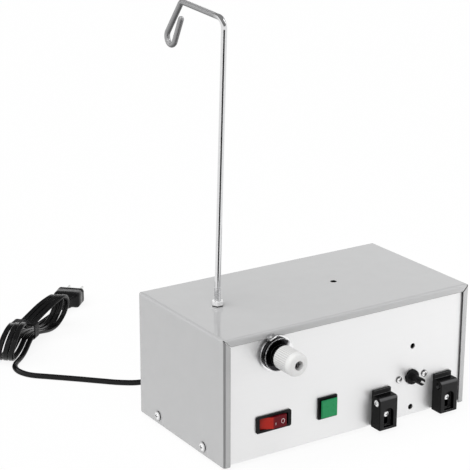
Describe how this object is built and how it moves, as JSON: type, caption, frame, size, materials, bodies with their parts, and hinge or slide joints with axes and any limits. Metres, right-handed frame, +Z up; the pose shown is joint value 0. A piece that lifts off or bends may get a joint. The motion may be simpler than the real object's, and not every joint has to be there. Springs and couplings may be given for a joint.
{
  "type": "electric bobbin winder",
  "caption": "Table-top electric bobbin winder: sheet metal case with a motor spindle, sensor blocks, thread tension knob, switches, wire thread pole and a tied mains cord.",
  "frame": {"origin": "middle of the case's outline on the surface that the four rubber feet stand on", "axes": "+X to the right seen from the front, +Y to the back, +Z up; the front panel faces -Y"},
  "size_m": [0.284, 0.4287, 0.3266],
  "materials": {
    "grey_paint": "satin",
    "aluminium": "satin",
    "bright_steel": "bright",
    "plated_wire": "bright",
    "dark_steel": "dull",
    "black_plastic": "satin",
    "white_plastic": "matte",
    "red_plastic": "gloss",
    "green_plastic": "satin",
    "lens_plastic": "gloss",
    "brass": "satin",
    "magnet": "dull",
    "board_laminate": "satin",
    "foot_rubber": "matte",
    "cord_rubber": "satin"
  },
  "bodies": {
    "case": {"cover": "grey_paint", "chassis": "aluminium", "cover_screws": "bright_steel", "rubber_feet": "foot_rubber", "thread_pole": "plated_wire", "pole_nuts": "bright_steel", "pole_washers": "bright_steel", "tension_base": "plated_wire", "tension_stud": "bright_steel", "tension_stud_nut": "bright_steel", "rear_disc": "plated_wire", "power_switch_body": "black_plastic", "power_switch_tabs": "brass", "start_button_body": "black_plastic", "start_button_nut": "black_plastic", "start_button_spring": "bright_steel", "motor_can": "bright_steel", "motor_end_cap": "black_plastic", "motor_magnets": "magnet", "motor_bearings": "brass", "motor_screws": "bright_steel", "sensor_clamp_screws": "bright_steel", "sensor_clamp_nuts": "bright_steel", "control_board": "board_laminate", "board_standoffs": "white_plastic", "board_screws": "bright_steel", "transformer": "magnet", "filter_capacitor": "aluminium", "relay": "board_laminate", "terminal_block": "green_plastic", "cord_gland": "cord_rubber", "mains_cord": "cord_rubber", "cord_hank": "cord_rubber", "cord_tie": "cord_rubber", "plug_body": "cord_rubber", "plug_blades": "brass"},
    "rotor": {"winding_spindle": "black_plastic", "spindle_set_screw": "dark_steel", "motor_shaft": "bright_steel", "motor_armature": "magnet"},
    "rocker": {"power_rocker": "red_plastic"},
    "button": {"start_button_cap": "green_plastic"},
    "spring_slide": {"tension_spring": "dark_steel"},
    "knob": {"tension_knob": "white_plastic"},
    "discs": {"front_disc": "plated_wire", "disc_presser": "dark_steel"},
    "left_sensor": {"left_sensor_block": "black_plastic", "left_light_emitter": "lens_plastic", "left_sensor_screw": "bright_steel"},
    "right_sensor": {"right_sensor_block": "black_plastic", "right_light_receiver": "lens_plastic", "right_sensor_screw": "bright_steel"}
  },
  "joints": [
    {"name": "spindle_spin", "type": "hinge", "parent": "case", "child": "rotor", "pos_m": [0.0605, -0.0605, 0.036], "axis": [0, -1, 0], "continuous": true},
    {"name": "rocker_tip", "type": "hinge", "parent": "case", "child": "rocker", "pos_m": [-0.07, -0.0565, 0.03], "axis": [0, 0, 1], "range_deg": [0, 25]},
    {"name": "button_press", "type": "slide", "parent": "case", "child": "button", "axis": [0, 1, 0], "range_m": [0, 0.0024], "stiffness_N_per_m": 400, "springref_m": -0.0015, "deforming": ["start_button_spring"]},
    {"name": "knob_travel", "type": "slide", "parent": "case", "child": "spring_slide", "axis": [0, -1, 0], "range_m": [-0.0016, 0.0016], "deforming": ["tension_spring"]},
    {"name": "knob_turn", "type": "hinge", "parent": "spring_slide", "child": "knob", "pos_m": [-0.0695, -0.0605, 0.085], "axis": [0, -1, 0], "range_deg": [-576, 576]},
    {"name": "disc_lift", "type": "slide", "parent": "case", "child": "discs", "axis": [0, -1, 0], "range_m": [0, 0.0008], "stiffness_N_per_m": 300, "springref_m": -0.002, "deforming": ["tension_spring"]},
    {"name": "left_sensor_slide", "type": "slide", "parent": "case", "child": "left_sensor", "axis": [0, 0, 1], "range_m": [-0.0012, 0.007]},
    {"name": "right_sensor_slide", "type": "slide", "parent": "case", "child": "right_sensor", "axis": [0, 0, 1], "range_m": [-0.0012, 0.007]}
  ],
  "couplings": [
    {"joint": "knob_turn", "follows": "knob_travel", "rad_per_m": 6283.2}
  ]
}
